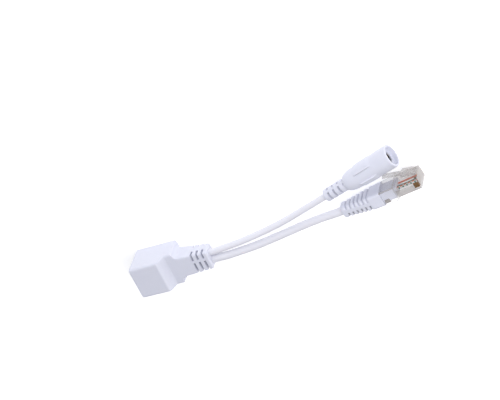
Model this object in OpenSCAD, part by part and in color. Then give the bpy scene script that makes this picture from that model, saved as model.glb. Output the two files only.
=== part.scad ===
// Passive power injector lead for network cable: a moulded socket housing with two short
// tails, one ending in an eight-way modular plug and one in a round power jack.
// Millimetres. +X runs from the socket mouth to the tails, +Z is up, and the housing lies on z = 0.

/* [Socket port] */
// Width of the opening that takes a modular plug
port_w = 11.9; // [11.7:0.05:12.3]
// Height of the opening that takes a modular plug
port_h = 6.9; // [6.7:0.05:7.4]
// Depth of the opening behind the insert's face
port_depth = 13; // [12:0.1:15]
// Width of the latch channel above the opening
key_w = 6.3; // [6.1:0.05:7]
// Height of the latch channel
key_h = 3.2; // [2.8:0.05:3.8]
// Width of the slot between the two latch catches
key_slot_w = 4.2; // [3.6:0.05:5]
// Height of the way under the two latch catches
catch_gap = 1.4; // [1.1:0.05:1.8]
// Thickness of the latch catches along the port
catch_t = 1.4; // [1:0.05:2]
// Side wall of the socket insert
insert_wall = 1.3; // [1:0.05:2]
// Floor under the port
insert_floor = 1.1; // [0.9:0.05:1.6]
// Roof over the latch channel
insert_roof = 1; // [0.8:0.05:2]
// Back wall behind the port
insert_back = 1.2; // [0.8:0.05:2]

/* [Socket contacts] */
// Distance between neighbouring contacts
pin_pitch = 1.02; // [1:0.01:1.06]
// Width of a contact spring
spring_w = 0.5; // [0.35:0.01:0.6]
// Thickness of a contact spring
spring_t = 0.3; // [0.2:0.01:0.4]
// Length of a contact spring's free arm
spring_len = 8.3; // [7:0.1:9]
// Rise of a contact spring at rest, in degrees
spring_rise = 19; // [15:0.5:21]
// Radius of a contact spring's root
spring_root_r = 0.35; // [0.25:0.01:0.4]
// Distance from the insert's face to the spring roots
spring_root_x = 2.4; // [2.2:0.1:3]
// Thickness of the carrier plate under the contacts
carrier_t = 2; // [1.5:0.1:3]
// Thickness of a solder tail
tail_t = 0.25; // [0.15:0.01:0.35]
// Width of a solder tail
tail_w = 0.55; // [0.4:0.01:0.65]

/* [Housing] */
// Wall on each side of the insert
side_wall = 1.9; // [1.5:0.1:3]
// Wall under the carrier plate
floor_wall = 2; // [1.5:0.1:3]
// Wall over the insert
roof_wall = 2.2; // [1.6:0.1:3]
// Wall between the insert and the head of the sloped step
step_wall = 1.6; // [1.4:0.1:2.4]
// Length of the sloped step
step_len = 2.8; // [2:0.1:4]
// Height of the step's foot and of the neck's top
neck_top = 13.8; // [13:0.1:15]
// Length of the pocket for the leads behind the insert
pocket_len = 7.6; // [7:0.1:10]
// Wall between that pocket and the coves
cove_wall = 1.1; // [0.8:0.1:2]
// Radius of the side coves
cove_r = 3.4; // [2.4:0.1:3.8]
// Radius of the cove underneath
belly_cove_r = 3; // [2.4:0.1:3.8]
// Radius of the housing's long edges
edge_r = 1.3; // [0.5:0.1:1.5]

/* [Neck] */
// Length of the neck beyond the side coves
neck_len = 15.2; // [13.5:0.1:20]
// Width of the neck at its end
neck_end_w = 10.6; // [10.2:0.1:12]
// Height of the neck's underside at its end
neck_end_z = 4.8; // [4:0.1:5.4]
// Radius of the neck's two upper edges
neck_edge_r = 0.8; // [0.5:0.1:2]
// Distance between the flex slots
slot_pitch = 3; // [2.4:0.1:3.4]
// Width of a flex slot
slot_w = 1.1; // [0.6:0.05:1.4]
// Depth of a flex slot at the neck's sides and underneath
slot_depth = 1.1; // [0.6:0.05:1.2]
// Depth of a flex slot on top
slot_top_depth = 1.8; // [0.6:0.05:2]
// Length of the solid ring at the neck's end
slot_ring = 2.2; // [1.5:0.1:3]
// Width of the bridges that the slots leave on top and underneath
slot_bridge = 1.7; // [1:0.1:3]
// Sideways place of those bridges
slot_bridge_y = 1.3; // [0:0.1:1.5]
// Height of the bridges that the slots leave on each side
slot_side_bridge = 3.8; // [3:0.1:5]
// Distance of those bridges below the cables' middle
slot_side_drop = 1; // [0:0.1:1.5]

/* [Tails] */
// Diameter of the network cable
rj_d = 4.3; // [3.8:0.1:4.6]
// Diameter of the power cable
dc_d = 3.4; // [3:0.1:3.6]
// Gap between the two cables where they leave the neck
tail_gap = 0.35; // [0.2:0.05:0.5]
// Diameter of an insulated lead
lead_d = 0.85; // [0.6:0.05:0.95]
// Distance between the leads at a cable's end
lead_pitch = 1.4; // [1.2:0.05:1.6]

/* [Modular plug] */
// Distance of the plug's back face from the housing's centre, along X
plug_x = 118; // [110:1:130]
// Distance of the plug's back face from the housing's centre, along Y
plug_y = 8; // [4:0.5:12]
// Turn of the plug about the vertical, in degrees
plug_yaw = 9; // [0:0.5:20]
// Length of the plug body
plug_len = 21.46; // [20:0.01:23]
// Width of the plug body, which stands upright here
plug_w = 11.68; // [11.4:0.01:11.9]
// Thickness of the plug body at its back
plug_t = 8; // [7.6:0.05:8.4]
// Thickness of the plug's nose
nose_t = 6.5; // [6.2:0.05:6.7]
// Length of the plug's nose
nose_len = 13.2; // [11:0.1:13.4]
// Wall of the plug body beside the boot's tongue
plug_wall = 1.1; // [0.8:0.05:1.5]
// Distance from the plug's back to the bar that presses on the boot's tongue
crimp_x = 0.5; // [0.3:0.1:1.5]
// Length of that bar along the plug
crimp_len = 2.6; // [2:0.1:3.5]
// Diameter of a plug wire
wire_d = 0.88; // [0.7:0.02:0.94]
// Thickness of a contact blade
blade_t = 0.34; // [0.25:0.01:0.45]
// Length of a contact blade
blade_len = 2.7; // [2.2:0.05:3]
// Depth of a contact blade's edge below the nose's face
blade_sink = 0.3; // [0.1:0.05:0.5]
// Distance from the plug's front to the blades
blade_front = 1.4; // [1:0.05:1.8]

/* [Plug latch] */
// Length of the latch arm
latch_len = 16.3; // [14:0.1:17]
// Width of the latch lever
latch_w = 3.3; // [2.8:0.05:4]
// Thickness of the latch lever
latch_t = 1.1; // [0.8:0.05:1.4]
// Width across the latch shoulders
shoulder_w = 6.1; // [5.6:0.05:6.3]
// Length of the latch shoulders
shoulder_len = 6.5; // [5:0.1:8]
// Height of the shoulders above the lever
shoulder_rise = 0.4; // [0.2:0.05:0.6]
// Rise of the latch arm at rest, in degrees
latch_rise = 15; // [13:0.5:18]
// Distance from the plug's front to the latch's root
latch_root = 0.96; // [0.8:0.02:1.4]
// Radius of the latch's root
latch_root_r = 0.5; // [0.4:0.05:0.6]

/* [Boot] */
// Length of the boot behind the plug
boot_len = 23; // [21:0.5:28]
// Length of the boot's square head
boot_head = 7; // [5:0.1:7.5]
// Width of the boot where the cable enters
boot_end_w = 7.2; // [6.6:0.1:8]
// Length of the boot's tongue in the plug
tongue_len = 9; // [7:0.1:9.1]
// Depth of the cable in the boot
boot_seat = 16; // [12:0.5:17]
// Distance between the boot's grooves
groove_pitch = 2.5; // [2:0.05:2.6]
// Width of a groove
groove_w = 0.9; // [0.5:0.05:1.1]
// Depth of a groove
groove_depth = 0.9; // [0.4:0.05:1]
// Width of the ribs that the grooves leave above and below
groove_rib = 1.9; // [1.2:0.1:2.4]

/* [Power jack] */
// Distance of the jack's cable end from the housing's centre, along X
jack_x = 90.5; // [85:0.5:95]
// Distance of the jack's cable end from the housing's centre, along Y
jack_y = 15; // [14:0.5:20]
// Turn of the jack about the vertical, in degrees
jack_yaw = 17.5; // [10:0.5:25]
// Turn of the jack's grip and slots about its own axis, in degrees
jack_roll = -10; // [-20:1:20]
// Diameter of the jack at its mouth
jack_d = 12; // [11.6:0.1:13]
// Diameter of the jack behind its grip
jack_rear_d = 10.8; // [10.4:0.1:11.6]
// Length of the jack's round body
jack_body_len = 21.5; // [20:0.1:26]
// Length of the domed shoulder
dome_len = 7.3; // [6:0.1:9]
// Length of the strain relief
relief_len = 12.9; // [12.5:0.1:15]
// Diameter of the strain relief
relief_d = 6.6; // [6:0.1:7.4]
// Distance between the strain relief's slots
relief_pitch = 3.2; // [2.6:0.1:3.4]
// Width of the strain relief's slots
relief_slot = 1.1; // [0.6:0.05:1.3]
// Depth of the strain relief's slots
relief_depth = 1.1; // [0.5:0.05:1.2]
// Width of the bridges between those slots
relief_bridge = 1.4; // [1:0.1:2]
// Length of the solid ring at the cable end
relief_ring = 2.55; // [1.5:0.05:3]
// Diameter of the recess in the mouth
mouth_d = 9.9; // [9.8:0.1:10.6]
// Depth of the recess in the mouth
mouth_depth = 2.6; // [1.5:0.1:3.5]
// Thickness of the mouth's floor, in front of the core
mouth_floor = 0.5; // [0.4:0.1:1.5]
// Height of the two grip pads
pad_h = 0.35; // [0.2:0.05:0.6]
// Length of the grip pads
pad_len = 10.2; // [8:0.1:12]
// Distance from the mouth to the grip pads
pad_x = 10.6; // [7:0.1:11]
// Angle that a grip pad covers, in degrees
pad_angle = 130; // [80:2:140]

/* [Power contacts] */
// Diameter of the insulating core
core_d = 9.6; // [9.3:0.1:9.7]
// Length of the insulating core
core_len = 15.5; // [14:0.1:16]
// Diameter of the plug bore in the core
core_bore_d = 5.7; // [5.6:0.05:6]
// Depth of the plug bore
core_bore_depth = 10; // [9:0.1:10.5]
// Diameter of the centre pin
pin_d = 2; // [1.9:0.05:2.1]
// Diameter of the centre pin's collar in the core
pin_collar_d = 2.6; // [2.4:0.05:3]
// Length of the centre pin in front of the core's back wall
pin_len = 9; // [8:0.1:9.4]
// Width of the side contact
leaf_w = 1.8; // [1.4:0.1:2]
// Thickness of the side contact
leaf_t = 0.3; // [0.2:0.05:0.4]
// Length of the side contact's sprung arm
leaf_len = 9.3; // [7:0.1:9.4]
// Depth of the side contact's root below the jack's axis
leaf_root_z = 3.3; // [3.2:0.05:3.4]
// Rise of the side contact at rest, in degrees
leaf_rise = 6; // [5.5:0.5:7]

/* [Fits] */
// Clearance round the socket insert
seat_clear = 0.15; // [0.05:0.05:0.3]
// Setback of the insert's face in the mouth
mouth_recess = 0.4; // [0:0.1:1]
// Clearance between stacked rigid pieces
stack_clear = 0.1; // [0.05:0.01:0.15]
// Clearance round a cable in its moulding
cable_clear = 0.03; // [0.02:0.01:0.06]
// Clearance round wires, blades and tongue in the plug
wire_clear = 0.08; // [0.04:0.01:0.1]
// Clearance round the core and its contacts
core_clear = 0.05; // [0.02:0.01:0.08]
// Clearance under a sprung root
root_clear = 0.15; // [0.1:0.01:0.2]

/* [Hidden] */
$fn = 48;
pins = 8;
slots = 3;
grooves = 6;
relief_slots = 3;
// Overshoot of a cut past the face that it opens
cut = 1;

white = [0.93, 0.94, 0.97];
ivory = [0.90, 0.88, 0.82];
gold = [0.80, 0.60, 0.22];
clear = [0.85, 0.88, 0.90, 0.45];

// Housing: heights of the stack inside it, from the floor up
carrier_z = floor_wall + stack_clear;
tail_z = carrier_z + carrier_t;
insert_z = tail_z + tail_t + stack_clear;
port_z = insert_z + insert_floor;
key_z = port_z + port_h;
insert_top = key_z + key_h + insert_roof;
seat_top = insert_top + seat_clear;
housing_h = seat_top + roof_wall;
// Housing: widths and the places along it, from the mouth
insert_w = port_w + 2 * insert_wall;
seat_w = insert_w + 2 * seat_clear;
housing_w = seat_w + 2 * side_wall;
insert_len = port_depth + insert_back;
seat_end = mouth_recess + insert_len + stack_clear;
step_x = seat_end + step_wall;
pocket_end = seat_end + pocket_len;
pocket_wall = 2;
cove_x = pocket_end + cove_wall;
neck_x = cove_x + cove_r;
housing_len = neck_x + neck_len;
neck_w = housing_w - 2 * cove_r;
mouth_x = -housing_len / 2;
cable_z = (neck_end_z + neck_top) / 2;
tail_spacing = (rj_d + dc_d) / 2 + tail_gap;
rj_y = -tail_spacing / 2;
dc_y = tail_spacing / 2;
root_x = mouth_recess + spring_root_x;
root_z = tail_z + root_clear + spring_root_r;
tail_start = root_x + 2 * spring_root_r + spring_t;
carrier_w = insert_w - 2 * stack_clear;
// Distance from the pocket's back wall to the carrier plate
carrier_setback = 2;
carrier_back = pocket_end - carrier_setback;
lead_z = tail_z + tail_t + lead_d / 2 + wire_clear;

// Modular plug: sizes of its inside
plug_mid = plug_w / 2;
plug_half = plug_t / 2;
tongue_t = plug_t - 2 * plug_wall - 2 * wire_clear;
tongue_w = plug_w - 2 * plug_wall - 2 * wire_clear;
nose_x = plug_len - nose_len;
nose_face = plug_half - nose_t;
// The tongue is thinner in front of the step, so that the nose keeps its wall
tongue_step = nose_x - plug_wall;
tongue_low = nose_face + plug_wall;
wire_y = plug_half - nose_t / 2 + 0.5 * wire_d;
wire_end = plug_len - blade_front - wire_clear;
blade_top = wire_y - wire_d / 2 - wire_clear;
latch_x = plug_len - latch_root;
latch_y = plug_half + root_clear + latch_root_r;

// Power jack: places along it, from the cable end
jack_len = relief_len + dome_len + jack_body_len;
jack_r = jack_d / 2;
// Length of the body's straight front, between its taper and the mouth
flat_len = pad_x / 2;
core_end = jack_len - mouth_depth - mouth_floor;
core_start = core_end - core_len;
core_wall_x = core_end - core_bore_depth;
// Radius of the pocket for the contacts' tails, and where the cable ends in front of it
jack_pocket_gap = 0.2;
jack_pocket_r = leaf_root_z + leaf_t / 2 + jack_pocket_gap;
cable_end_x = relief_len + 1.6;
contact_back = core_start - 3.6;
leaf_x = core_wall_x + root_clear + leaf_t;
leaf_slot_w = leaf_w + 2 * root_clear;

// Routes of the two tails, from the pocket in the housing to the seat in the plug's boot or the
// jack. The free stretches are laid out by hand: the cables come down from the neck to the surface
// that the object lies on, and part towards the plug and the jack.
rj_free = [
  [25, -2.1, 9.3], [29, -2.2, 9.1], [34, -2.1, 8.7], [39, -2, 8.2], [45, -1.8, 7.5], [51, -1.3, 6.8],
  [57, -0.6, 6.3], [63, 0.2, 5.9], [69, 1.1, 5.6], [75, 2, 5.5], [81, 2.8, 5.5], [87, 3.4, 5.6],
  [91, 3.8, 5.8]
];
dc_free = [
  [25, 2.2, 9.3], [29, 2.5, 9.1], [34, 2.8, 8.7], [39, 3.1, 8.2], [45, 3.7, 7.5], [51, 4.5, 6.9],
  [57, 5.5, 6.4], [63, 6.8, 6.1], [69, 8.4, 5.9], [75, 10.2, 5.8], [81, 12, 5.8], [86, 13.6, 5.9]
];
// Places inside the neck where a cable's route has a point, as shares of the neck's length
neck_steps = [0, 0.35, 0.7, 1];
function in_neck(y) = [
  for (s = neck_steps) [mouth_x + pocket_end + s * (housing_len - pocket_end), y, cable_z]
];
function turn(p, yaw) = [p[0] * cos(yaw) - p[1] * sin(yaw), p[0] * sin(yaw) + p[1] * cos(yaw), p[2]];
function in_boot(x) = [plug_x, plug_y, 0] + turn([x, 0, plug_mid], plug_yaw);
function in_jack(x) = [jack_x, jack_y, 0] + turn([x, 0, jack_r], jack_yaw);
rj_route = concat(
  in_neck(rj_y), rj_free,
  [for (s = [0, 0.5, 1]) in_boot(-boot_len + s * boot_seat)]
);
dc_route = concat(
  in_neck(dc_y), dc_free,
  [for (s = [0, 0.5, 1]) in_jack(s * cable_end_x)]
);

// Swept tube: one ring of points square to the route at each of its points
function unit(v) = v / norm(v);
function heading(route, i) =
  unit(route[min(i + 1, len(route) - 1)] - route[max(i - 1, 0)]);
function ring(p, along, r, sides) =
  let (side = unit(cross([0, 0, 1], along)), up = cross(along, side), step = 360 / sides)
  [for (k = [0 : sides - 1]) p + r * (cos(step * (k + 0.5)) * side + sin(step * (k + 0.5)) * up)];
function tube_points(route, r, sides) =
  [for (i = [0 : len(route) - 1]) each ring(route[i], heading(route, i), r, sides)];
function tube_faces(rings, sides) = concat(
  [for (i = [0 : rings - 2]) for (k = [0 : sides - 1])
    let (a = i * sides + k, b = i * sides + (k + 1) % sides)
      each [[a, a + sides, b], [b, a + sides, b + sides]]],
  [for (k = [1 : sides - 2]) [0, k, k + 1]],
  [for (k = [1 : sides - 2]) let (e = (rings - 1) * sides) [e, e + k + 1, e + k]]
);
module tube(route, d, sides) {
  polyhedron(points = tube_points(route, d / 2, sides), faces = tube_faces(len(route), sides));
}
// Lead between two points: a short straight stub along X at each end and a cubic curve with two pull lengths
lead_stub = 0.3;
function cubic(a, b, pull_a, pull_b, steps = 8) = [
  for (i = [0 : steps]) let (t = i / steps, u = 1 - t)
    u * u * u * a + 3 * u * u * t * (a + [pull_a, 0, 0])
      + 3 * u * t * t * (b - [pull_b, 0, 0]) + t * t * t * b
];
function lead_curve(a, b, pull_a, pull_b) =
  let (stub = [lead_stub, 0, 0]) concat([a], cubic(a + stub, b - stub, pull_a, pull_b), [b]);
module lead(a, b, pull_a, pull_b) {
  tube(lead_curve(a, b, pull_a, pull_b), lead_d, 6);
}

function pin_y(i) = (i - (pins + 1) / 2) * pin_pitch;

// Block between two corners
module block(a, b) {
  translate(a) cube(b - a);
}
// Rod along X
module rod(x0, x1, r) {
  translate([x0, 0, 0]) rotate([0, 90, 0]) cylinder(h = x1 - x0, r = r);
}
// Rectangle from its lower corner with four rounded corners
module rounded(w, h, r) {
  translate([r, 0]) square([w - 2 * r, h]);
  translate([0, r]) square([w, h - 2 * r]);
  for (x = [r, w - r]) for (y = [r, h - r]) translate([x, y]) circle(r = r);
}
module in_housing() {
  translate([mouth_x, 0, 0]) children();
}
module at_plug() {
  translate([plug_x, plug_y, 0]) rotate([0, 0, plug_yaw]) children();
}
module at_jack() {
  translate([jack_x, jack_y, jack_r]) rotate([0, 0, jack_yaw]) children();
}
// Profile drawn in Y and Z, carried along X
module along_x(x0, x1) {
  translate([x0, 0, 0]) rotate([90, 0, 90]) linear_extrude(x1 - x0) children();
}

// Outline of the housing from above: straight sides, two coves and the tapering neck
module housing_plan() {
  translate([-cut, -housing_w]) square([cove_x + cut, 2 * housing_w]);
  difference() {
    translate([cove_x - cut, -housing_w / 2]) square([cove_r + cut, housing_w]);
    for (s = [-1, 1]) translate([neck_x, s * housing_w / 2]) circle(r = cove_r);
  }
  polygon([
    [neck_x - cut, -neck_w / 2], [neck_x, -neck_w / 2], [housing_len, -neck_end_w / 2],
    [housing_len, neck_end_w / 2], [neck_x, neck_w / 2], [neck_x - cut, neck_w / 2]
  ]);
}
// Outline of the housing from the side: the box, its sloped step, the cove below and the neck
module housing_side() {
  slope = step_len / (housing_h - neck_top);
  polygon([
    [-cut, -cut], [cove_x, -cut], [cove_x, neck_top], [step_x + step_len, neck_top],
    [step_x - slope * cut, housing_h + cut], [-cut, housing_h + cut]
  ]);
  difference() {
    translate([cove_x - cut, 0]) square([belly_cove_r + cut, neck_top]);
    translate([cove_x + belly_cove_r, 0]) circle(r = belly_cove_r);
  }
  polygon([
    [cove_x + belly_cove_r - cut, belly_cove_r], [cove_x + belly_cove_r, belly_cove_r],
    [housing_len, neck_end_z], [housing_len, neck_top], [cove_x + belly_cove_r - cut, neck_top]
  ]);
}
// Cross-section of the neck, with its two upper edges rounded
module neck_section() {
  difference() {
    translate([-housing_w, -cut]) square([2 * housing_w, neck_top + cut]);
    for (s = [-1, 1]) translate([s * (neck_w / 2 - neck_edge_r), neck_top - neck_edge_r]) difference() {
      translate([s > 0 ? 0 : -housing_w, 0]) square([housing_w, neck_edge_r + cut]);
      circle(r = neck_edge_r);
    }
  }
}
module housing_form() {
  intersection() {
    along_x(0, housing_len) translate([-housing_w / 2, 0]) rounded(housing_w, housing_h, edge_r);
    translate([0, 0, -cut]) linear_extrude(housing_h + 2 * cut) housing_plan();
    translate([0, housing_w, 0]) rotate([90, 0, 0]) linear_extrude(2 * housing_w) housing_side();
    union() {
      block([-cut, -housing_w, -cut], [neck_x, housing_w, housing_h + cut]);
      along_x(neck_x - cut, housing_len + cut) neck_section();
    }
  }
}
// Flex slots: each level is open at the neck's four corners, between bridges on its four sides
module flex_slots() {
  for (i = [0 : slots - 1]) {
    x = housing_len - slot_ring - i * slot_pitch;
    along_x(x - slot_w, x) difference() {
      translate([-housing_w, -cut]) square([2 * housing_w, housing_h]);
      translate([-neck_end_w / 2 + slot_depth, neck_end_z + slot_depth])
        square([neck_end_w - 2 * slot_depth, neck_top - neck_end_z - slot_depth - slot_top_depth]);
      translate([slot_bridge_y - slot_bridge / 2, -cut]) square([slot_bridge, housing_h]);
      translate([-housing_w, cable_z - slot_side_drop - slot_side_bridge / 2])
        square([2 * housing_w, slot_side_bridge]);
    }
  }
}
module housing() {
  color(white) in_housing() difference() {
    housing_form();
    block([-cut, -seat_w / 2, floor_wall], [seat_end, seat_w / 2, seat_top]);
    block([seat_end - cut, -seat_w / 2, floor_wall], [pocket_end, seat_w / 2, neck_top - pocket_wall]);
    translate([0, rj_y, cable_z]) rod(pocket_end - cut, housing_len + cut, rj_d / 2 + cable_clear);
    translate([0, dc_y, cable_z]) rod(pocket_end - cut, housing_len + cut, dc_d / 2 + cable_clear);
    flex_slots();
  }
}

// Socket insert: the port, the latch channel with its two catches and the window for the springs
module socket_insert() {
  face = mouth_recess;
  port_back = face + port_depth;
  window_w = pins * pin_pitch + spring_w;
  color(ivory) in_housing() difference() {
    block([face, -insert_w / 2, insert_z], [face + insert_len, insert_w / 2, insert_top]);
    block([face - cut, -port_w / 2, port_z], [port_back, port_w / 2, key_z]);
    block([face - cut, -key_w / 2, key_z - cut], [face + catch_t + cut, key_w / 2, key_z + catch_gap]);
    block([face - cut, -key_slot_w / 2, key_z - cut], [face + catch_t + cut, key_slot_w / 2, key_z + key_h]);
    block([face + catch_t, -key_w / 2, key_z - cut], [port_back, key_w / 2, key_z + key_h]);
    block([root_x - 2 * spring_root_r, -window_w / 2, insert_z - cut],
          [root_x + spring_len + spring_t, window_w / 2, port_z + cut]);
  }
}
module contact_carrier() {
  color([0.16, 0.17, 0.19]) in_housing()
    block([mouth_recess, -carrier_w / 2, carrier_z], [carrier_back, carrier_w / 2, tail_z]);
}
// Contact springs: eight sprung arms that rise into the port from their roots
module contact_springs() {
  color(gold) in_housing() for (i = [1 : pins]) translate([root_x, pin_y(i), root_z]) {
    rotate([90, 0, 0]) cylinder(h = spring_w, r = spring_root_r, center = true);
    rotate([0, -spring_rise, 0])
      block([0, -spring_w / 2, -spring_t / 2], [spring_len, spring_w / 2, spring_t / 2]);
  }
}
module solder_tails() {
  color(gold) in_housing() for (i = [1 : pins])
    translate([0, pin_y(i), tail_z])
      block([tail_start, -tail_w / 2, 0], [carrier_back, tail_w / 2, tail_t]);
}

// Leads in the housing: they fan out from the cable ends to the tails that they feed
module housing_lead(y, z, land_y, land_x, pull_a, pull_b) {
  in_housing() lead([land_x, land_y, lead_z], [pocket_end, y, cable_z + z], pull_b, pull_a);
}
half_lead = lead_pitch / 2;
// Length of the tails that the near leads lie on, and the way from the insert to the far leads' ends
land_len = 3;
land_gap = 0.8;
near_land = carrier_back - land_len;
far_land = seat_end + land_gap;
module data_lead_1() {
  color([0.95, 0.75, 0.60]) housing_lead(rj_y - half_lead, half_lead, pin_y(1), far_land, 3, 2.2);
}
module data_lead_2() {
  color([0.70, 0.85, 0.72]) housing_lead(rj_y - half_lead, -half_lead, pin_y(2), near_land, 2, 2);
}
module data_lead_3() {
  color([0.15, 0.45, 0.30]) housing_lead(rj_y + half_lead, -half_lead, pin_y(3), near_land, 2, 2);
}
module data_lead_6() {
  color([0.90, 0.45, 0.25]) housing_lead(rj_y + half_lead, half_lead, pin_y(6), far_land, 5.6, 1);
}
module power_lead_pos() {
  color([0.75, 0.10, 0.10]) housing_lead(dc_y - half_lead, 0, (pin_y(4) + pin_y(5)) / 2, near_land, 1.6, 3);
}
module power_lead_neg() {
  color([0.10, 0.10, 0.11]) housing_lead(dc_y + half_lead, 0, (pin_y(7) + pin_y(8)) / 2, near_land, 2, 2);
}

module network_cable() {
  color(white) tube(rj_route, rj_d, 10);
}
module power_cable() {
  color(white) tube(dc_route, dc_d, 8);
}

// Boot: square head, ribbed taper and the tongue that fills the back of the plug
module boot_slice(x, w, h, r) {
  translate([x, 0, plug_mid - h / 2]) along_x(0, groove_w) translate([-w / 2, 0]) rounded(w, h, r, $fn = 32);
}
function boot_share(x) = (x + boot_len) / (boot_len - boot_head);
function boot_w_at(x) = boot_end_w + boot_share(x) * (plug_t - boot_end_w);
function boot_h_at(x) = boot_end_w + boot_share(x) * (plug_w - boot_end_w);
module boot_grooves() {
  for (i = [0 : grooves - 1]) {
    x = -boot_head - groove_w - i * groove_pitch;
    w = boot_w_at(x) - 2 * groove_depth;
    h = boot_h_at(x) - 2 * groove_depth;
    difference() {
      block([x, -plug_t, -cut], [x + groove_w, plug_t, plug_w + cut]);
      along_x(x - cut, x + groove_w + cut) translate([-w / 2, plug_mid - h / 2]) rounded(w, h, w / 3);
      block([x - cut, -groove_rib / 2, -2 * cut], [x + groove_w + cut, groove_rib / 2, plug_w + 2 * cut]);
    }
  }
}
module boot() {
  color(white) at_plug() difference() {
    union() {
      hull() {
        boot_slice(-boot_len, boot_end_w, boot_end_w, boot_end_w / 3);
        boot_slice(-boot_head - groove_w, plug_t, plug_w, edge_r);
      }
      along_x(-boot_head - groove_w, 0) translate([-plug_half, 0]) rounded(plug_t, plug_w, edge_r);
      translate([0, 0, plug_mid]) {
        block([-cut, -tongue_t / 2, -tongue_w / 2], [tongue_step - wire_clear, tongue_t / 2, tongue_w / 2]);
        block([0, tongue_low + wire_clear, -tongue_w / 2], [tongue_len, tongue_t / 2, tongue_w / 2]);
      }
    }
    block([crimp_x - wire_clear, -plug_half, -cut],
          [crimp_x + crimp_len + wire_clear, tongue_low + wire_clear, plug_w + cut]);
    translate([0, 0, plug_mid]) rod(-boot_len - cut, -boot_len + boot_seat, rj_d / 2 + cable_clear);
    boot_grooves();
  }
}

// Plug body: clear shell with a thick back, a thinner nose, the bar that holds the boot's tongue,
// the wire slot and a slot for each blade
module plug_body() {
  inner_y = plug_half - plug_wall;
  inner_z = plug_w - plug_wall;
  window_w = plug_w / 2.4;
  color(clear) at_plug() difference() {
    union() {
      block([0, -plug_half, 0], [nose_x, plug_half, plug_w]);
      block([nose_x - cut, nose_face, 0], [plug_len, plug_half, plug_w]);
    }
    difference() {
      union() {
        block([-cut, -inner_y, plug_wall], [tongue_step, inner_y, inner_z]);
        block([-cut, tongue_low, plug_wall], [tongue_len, inner_y, inner_z]);
      }
      block([crimp_x, -plug_half, 0], [crimp_x + crimp_len, tongue_low, plug_w]);
    }
    block([tongue_len - cut, wire_y - wire_d / 2 - wire_clear, plug_mid - pins * pin_pitch / 2],
          [wire_end + wire_clear, wire_y + wire_d / 2 + wire_clear, plug_mid + pins * pin_pitch / 2]);
    for (i = [1 : pins]) translate([0, 0, plug_mid + pin_y(i)])
      block([plug_len - blade_front - blade_len - wire_clear, nose_face - cut, -blade_t / 2 - wire_clear],
            [plug_len - blade_front + wire_clear, wire_y, blade_t / 2 + wire_clear]);
    translate([0, 0, plug_mid])
      block([plug_wall, -plug_half - cut, -window_w / 2],
            [nose_x - 2 * plug_wall, -plug_half + plug_wall / 2, window_w / 2]);
  }
}
// Plug latch: lever and shoulders on a round root along the plug's front edge
module plug_latch() {
  color(clear) at_plug() translate([latch_x, latch_y, plug_mid]) {
    cylinder(h = shoulder_w, r = latch_root_r, center = true);
    rotate([0, 0, -latch_rise]) {
      block([-latch_len, -latch_t / 2, -latch_w / 2], [0, latch_t / 2, latch_w / 2]);
      block([-shoulder_len - latch_root_r, -latch_t / 2, -shoulder_w / 2],
            [-latch_root_r, latch_t / 2 + shoulder_rise, shoulder_w / 2]);
    }
  }
}
module plug_blades() {
  color(gold) at_plug() for (i = [1 : pins]) translate([0, 0, plug_mid + pin_y(i)])
    block([plug_len - blade_front - blade_len, plug_half - nose_t + blade_sink, -blade_t / 2],
          [plug_len - blade_front, blade_top, blade_t / 2]);
}
module plug_wire(pin, tint) {
  color(tint) at_plug() translate([0, wire_y, plug_mid - pin_y(pin)]) rod(tongue_len, wire_end, wire_d / 2);
}
module plug_wire_1() {
  plug_wire(1, [0.95, 0.70, 0.55]);
}
module plug_wire_2() {
  plug_wire(2, [0.85, 0.88, 0.86]);
}
module plug_wire_3() {
  plug_wire(3, [0.15, 0.45, 0.32]);
}
module plug_wire_6() {
  plug_wire(6, [0.93, 0.55, 0.42]);
}

// Jack shell: turned profile of strain relief, dome and body, with pads for the fingers
function jack_radius(x) =
  let (share = min(1, (x - relief_len - dome_len) / (jack_body_len - flat_len)))
  (jack_rear_d + share * (jack_d - jack_rear_d)) / 2;
module jack_profile() {
  rim = 0.45;
  steps = 8;
  polygon(concat(
    [[0, 0], [relief_d / 2 - rim, 0], [relief_d / 2, rim]],
    [for (i = [0 : steps]) let (t = 90 * i / steps)
      [relief_d / 2 + (jack_rear_d - relief_d) / 2 * sin(t), relief_len + dome_len * (1 - cos(t))]],
    [[jack_r, jack_len - flat_len], [jack_r, jack_len - rim], [jack_r - rim, jack_len], [0, jack_len]]
  ));
}
module grip_pad() {
  x0 = jack_len - pad_x - pad_len;
  x1 = jack_len - pad_x;
  // The pad's root lies halfway into the wall between the core and the body's skin
  root_r = (core_d / 2 + core_clear + jack_radius(x0)) / 2;
  rotate([0, 90, 0]) rotate([0, 0, 90 - pad_angle / 2]) rotate_extrude(angle = pad_angle) polygon([
    [root_r, x0], [jack_radius(x0) + pad_h, x0], [jack_radius(x1) + pad_h, x1], [root_r, x1]
  ]);
}
module relief_slots() {
  for (i = [0 : relief_slots - 1]) {
    x = relief_ring + i * relief_pitch;
    difference() {
      rod(x, x + relief_slot, relief_d);
      rod(x - cut, x + relief_slot + cut, relief_d / 2 - relief_depth);
      rotate([45 + jack_roll, 0, 0])
        block([x - cut, -relief_d, -relief_bridge / 2], [x + relief_slot + cut, relief_d, relief_bridge / 2]);
    }
  }
}
module jack_shell() {
  color(white) at_jack() difference() {
    union() {
      rotate([0, 90, 0]) rotate_extrude() jack_profile();
      for (a = [0, 180]) rotate([a + jack_roll, 0, 0]) grip_pad();
    }
    rod(jack_len - mouth_depth, jack_len + cut, mouth_d / 2);
    rod(core_end - cut, jack_len, core_bore_d / 2 + core_clear);
    rod(core_start, core_end, core_d / 2 + core_clear);
    rod(cable_end_x, core_start + cut, jack_pocket_r);
    rod(-cut, cable_end_x + cut, dc_d / 2 + cable_clear);
    relief_slots();
  }
}
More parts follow.
